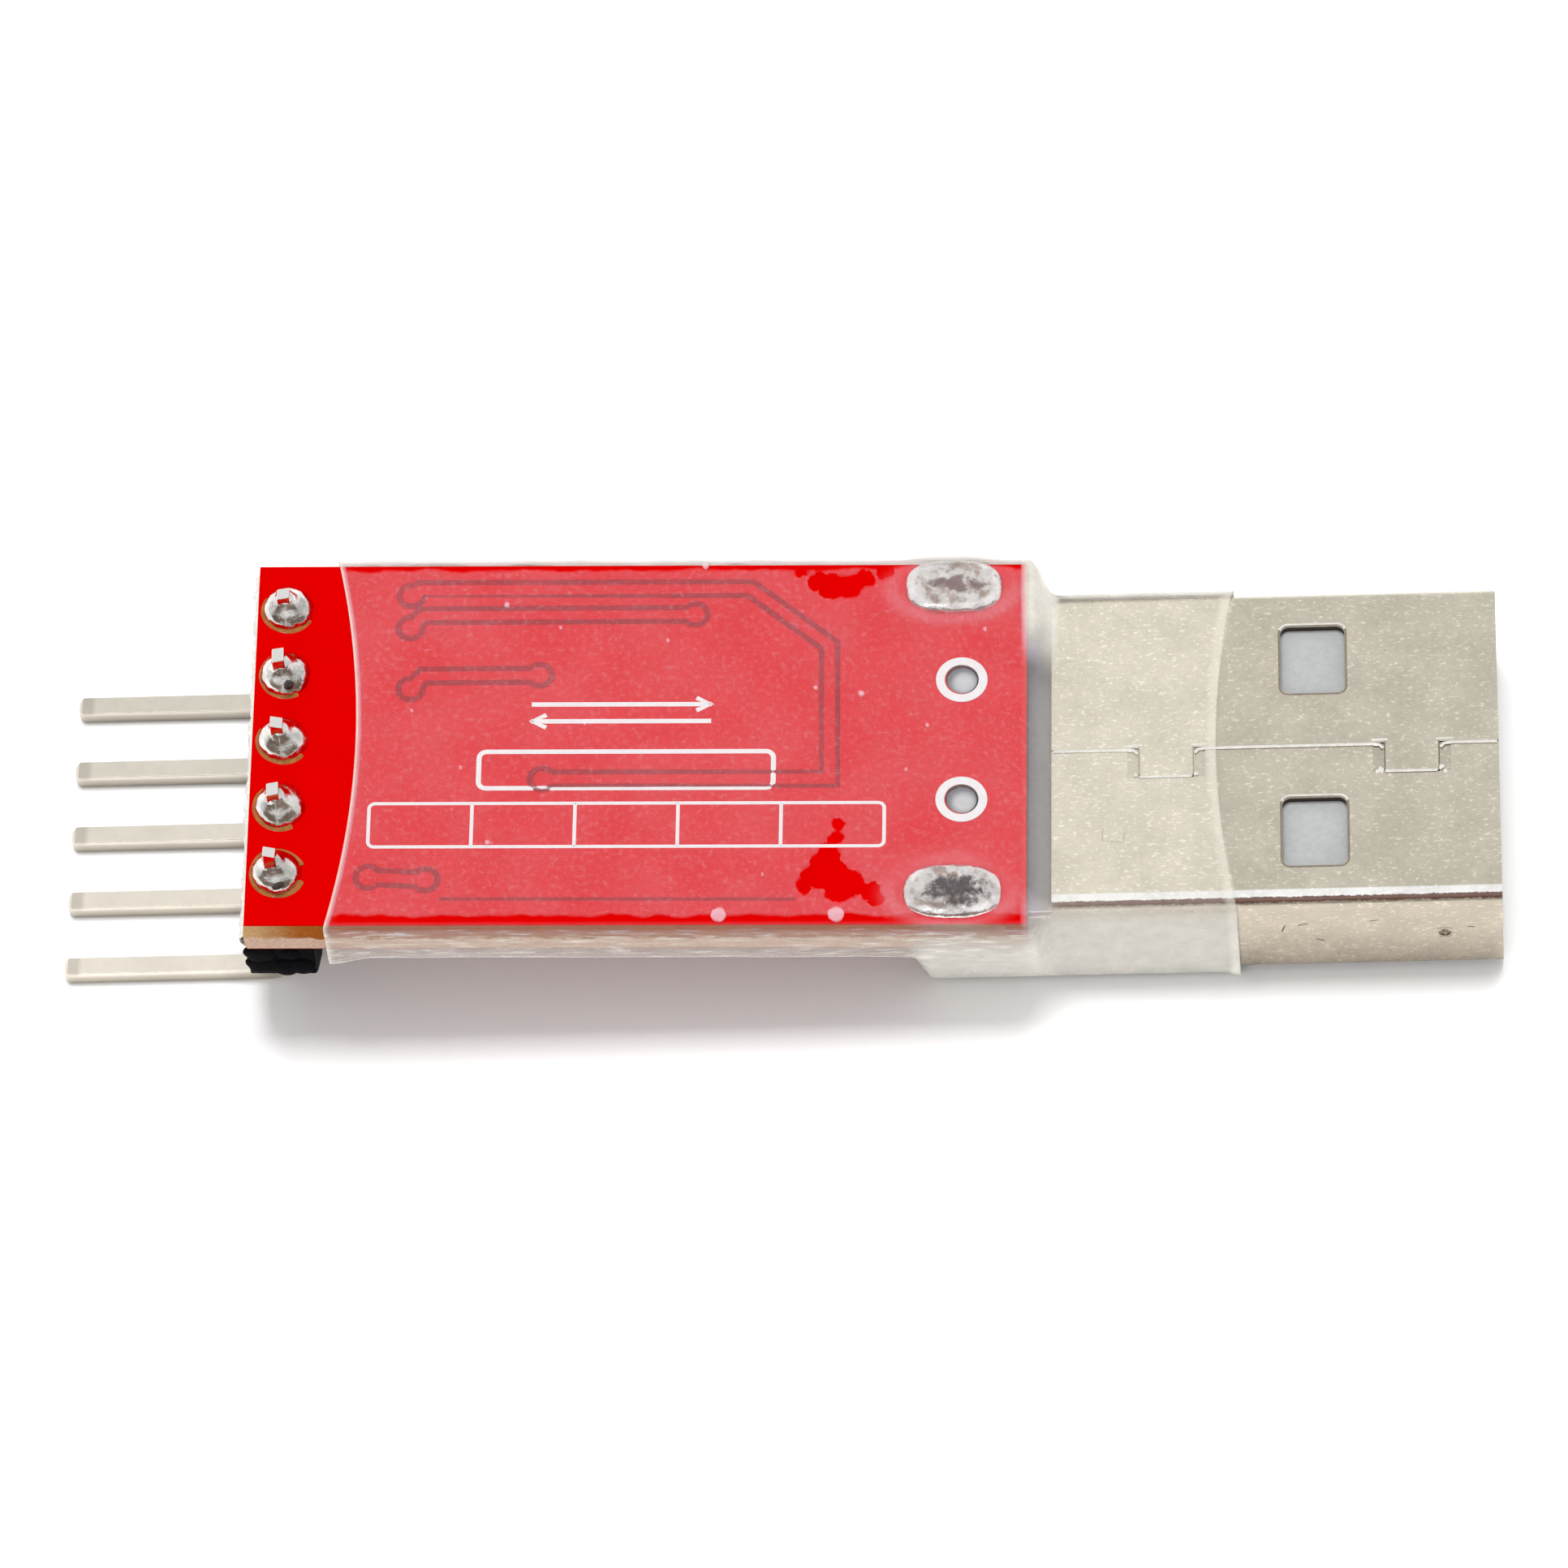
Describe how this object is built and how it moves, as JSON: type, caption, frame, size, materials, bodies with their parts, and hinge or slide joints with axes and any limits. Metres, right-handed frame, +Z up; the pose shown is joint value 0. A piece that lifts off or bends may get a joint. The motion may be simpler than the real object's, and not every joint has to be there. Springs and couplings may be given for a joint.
{
  "type": "usb to serial adapter module",
  "caption": "Small circuit board in a clear shrunk sleeve, with a flat metal plug at one end and a row of square header pins bent outward at the other.",
  "frame": {"origin": "bottom centre of the whole module as it lies, solder side up, on its plug and pins", "axes": "+X along the plug towards its tip, +Y sideways to the far long edge, +Z up from the board's solder side"},
  "size_m": [0.0484, 0.0144, 0.008],
  "materials": {
    "solder_mask": "gloss",
    "clear_film": "gloss",
    "nickel_shell": "satin",
    "white_moulding": "satin",
    "gold_contact": "gloss",
    "black_moulding": "satin",
    "tinned_pin": "satin",
    "solder": "gloss",
    "chip_moulding": "matte",
    "lamp_body": "gloss",
    "resistor_body": "gloss",
    "capacitor_body": "matte",
    "fuse_body": "matte"
  },
  "bodies": {
    "root": {"circuit_board": "solder_mask", "heat_shrink_sleeve": "clear_film", "plug_shell": "nickel_shell", "plug_insulator": "white_moulding", "header_strip": "black_moulding", "tab_solder_far": "solder", "tab_solder_near": "solder", "bridge_chip": "chip_moulding", "resettable_fuse": "fuse_body", "plug_contact_1": "gold_contact", "plug_contact_2": "gold_contact", "plug_contact_3": "gold_contact", "plug_contact_4": "gold_contact", "header_pin_1": "tinned_pin", "header_solder_1": "solder", "header_pin_2": "tinned_pin", "header_solder_2": "solder", "header_pin_3": "tinned_pin", "header_solder_3": "solder", "header_pin_4": "tinned_pin", "header_solder_4": "solder", "header_pin_5": "tinned_pin", "header_solder_5": "solder", "signal_led_1": "lamp_body", "led_resistor_1": "resistor_body", "capacitor_1": "capacitor_body", "signal_led_2": "lamp_body", "led_resistor_2": "resistor_body", "capacitor_2": "capacitor_body", "signal_led_3": "lamp_body", "led_resistor_3": "resistor_body", "capacitor_3": "capacitor_body"}
  },
  "joints": []
}
